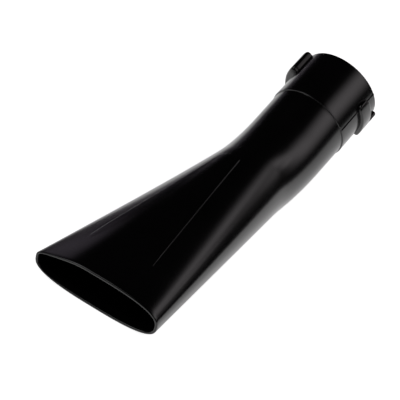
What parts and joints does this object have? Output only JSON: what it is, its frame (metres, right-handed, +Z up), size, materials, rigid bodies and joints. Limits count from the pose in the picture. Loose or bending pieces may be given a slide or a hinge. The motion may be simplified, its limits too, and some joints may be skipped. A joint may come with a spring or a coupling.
{
  "type": "leaf blower nozzle tube",
  "caption": "Bent one-piece plastic nozzle tube: a round collar with bayonet channels goes over a blower's pipe, and the duct flares to a wide flat outlet.",
  "frame": {"origin": "centre of the bounding box in X and Y, at the surface that the flare's belly lies on", "axes": "+X along the air's way to the outlet, +Y to the left when looking along it, +Z up, with the raised panel on top"},
  "size_m": [0.3762, 0.1206, 0.1182],
  "materials": {
    "black_plastic": "satin, moulded"
  },
  "bodies": {
    "root": {"nozzle_tube": "black_plastic"}
  },
  "joints": []
}
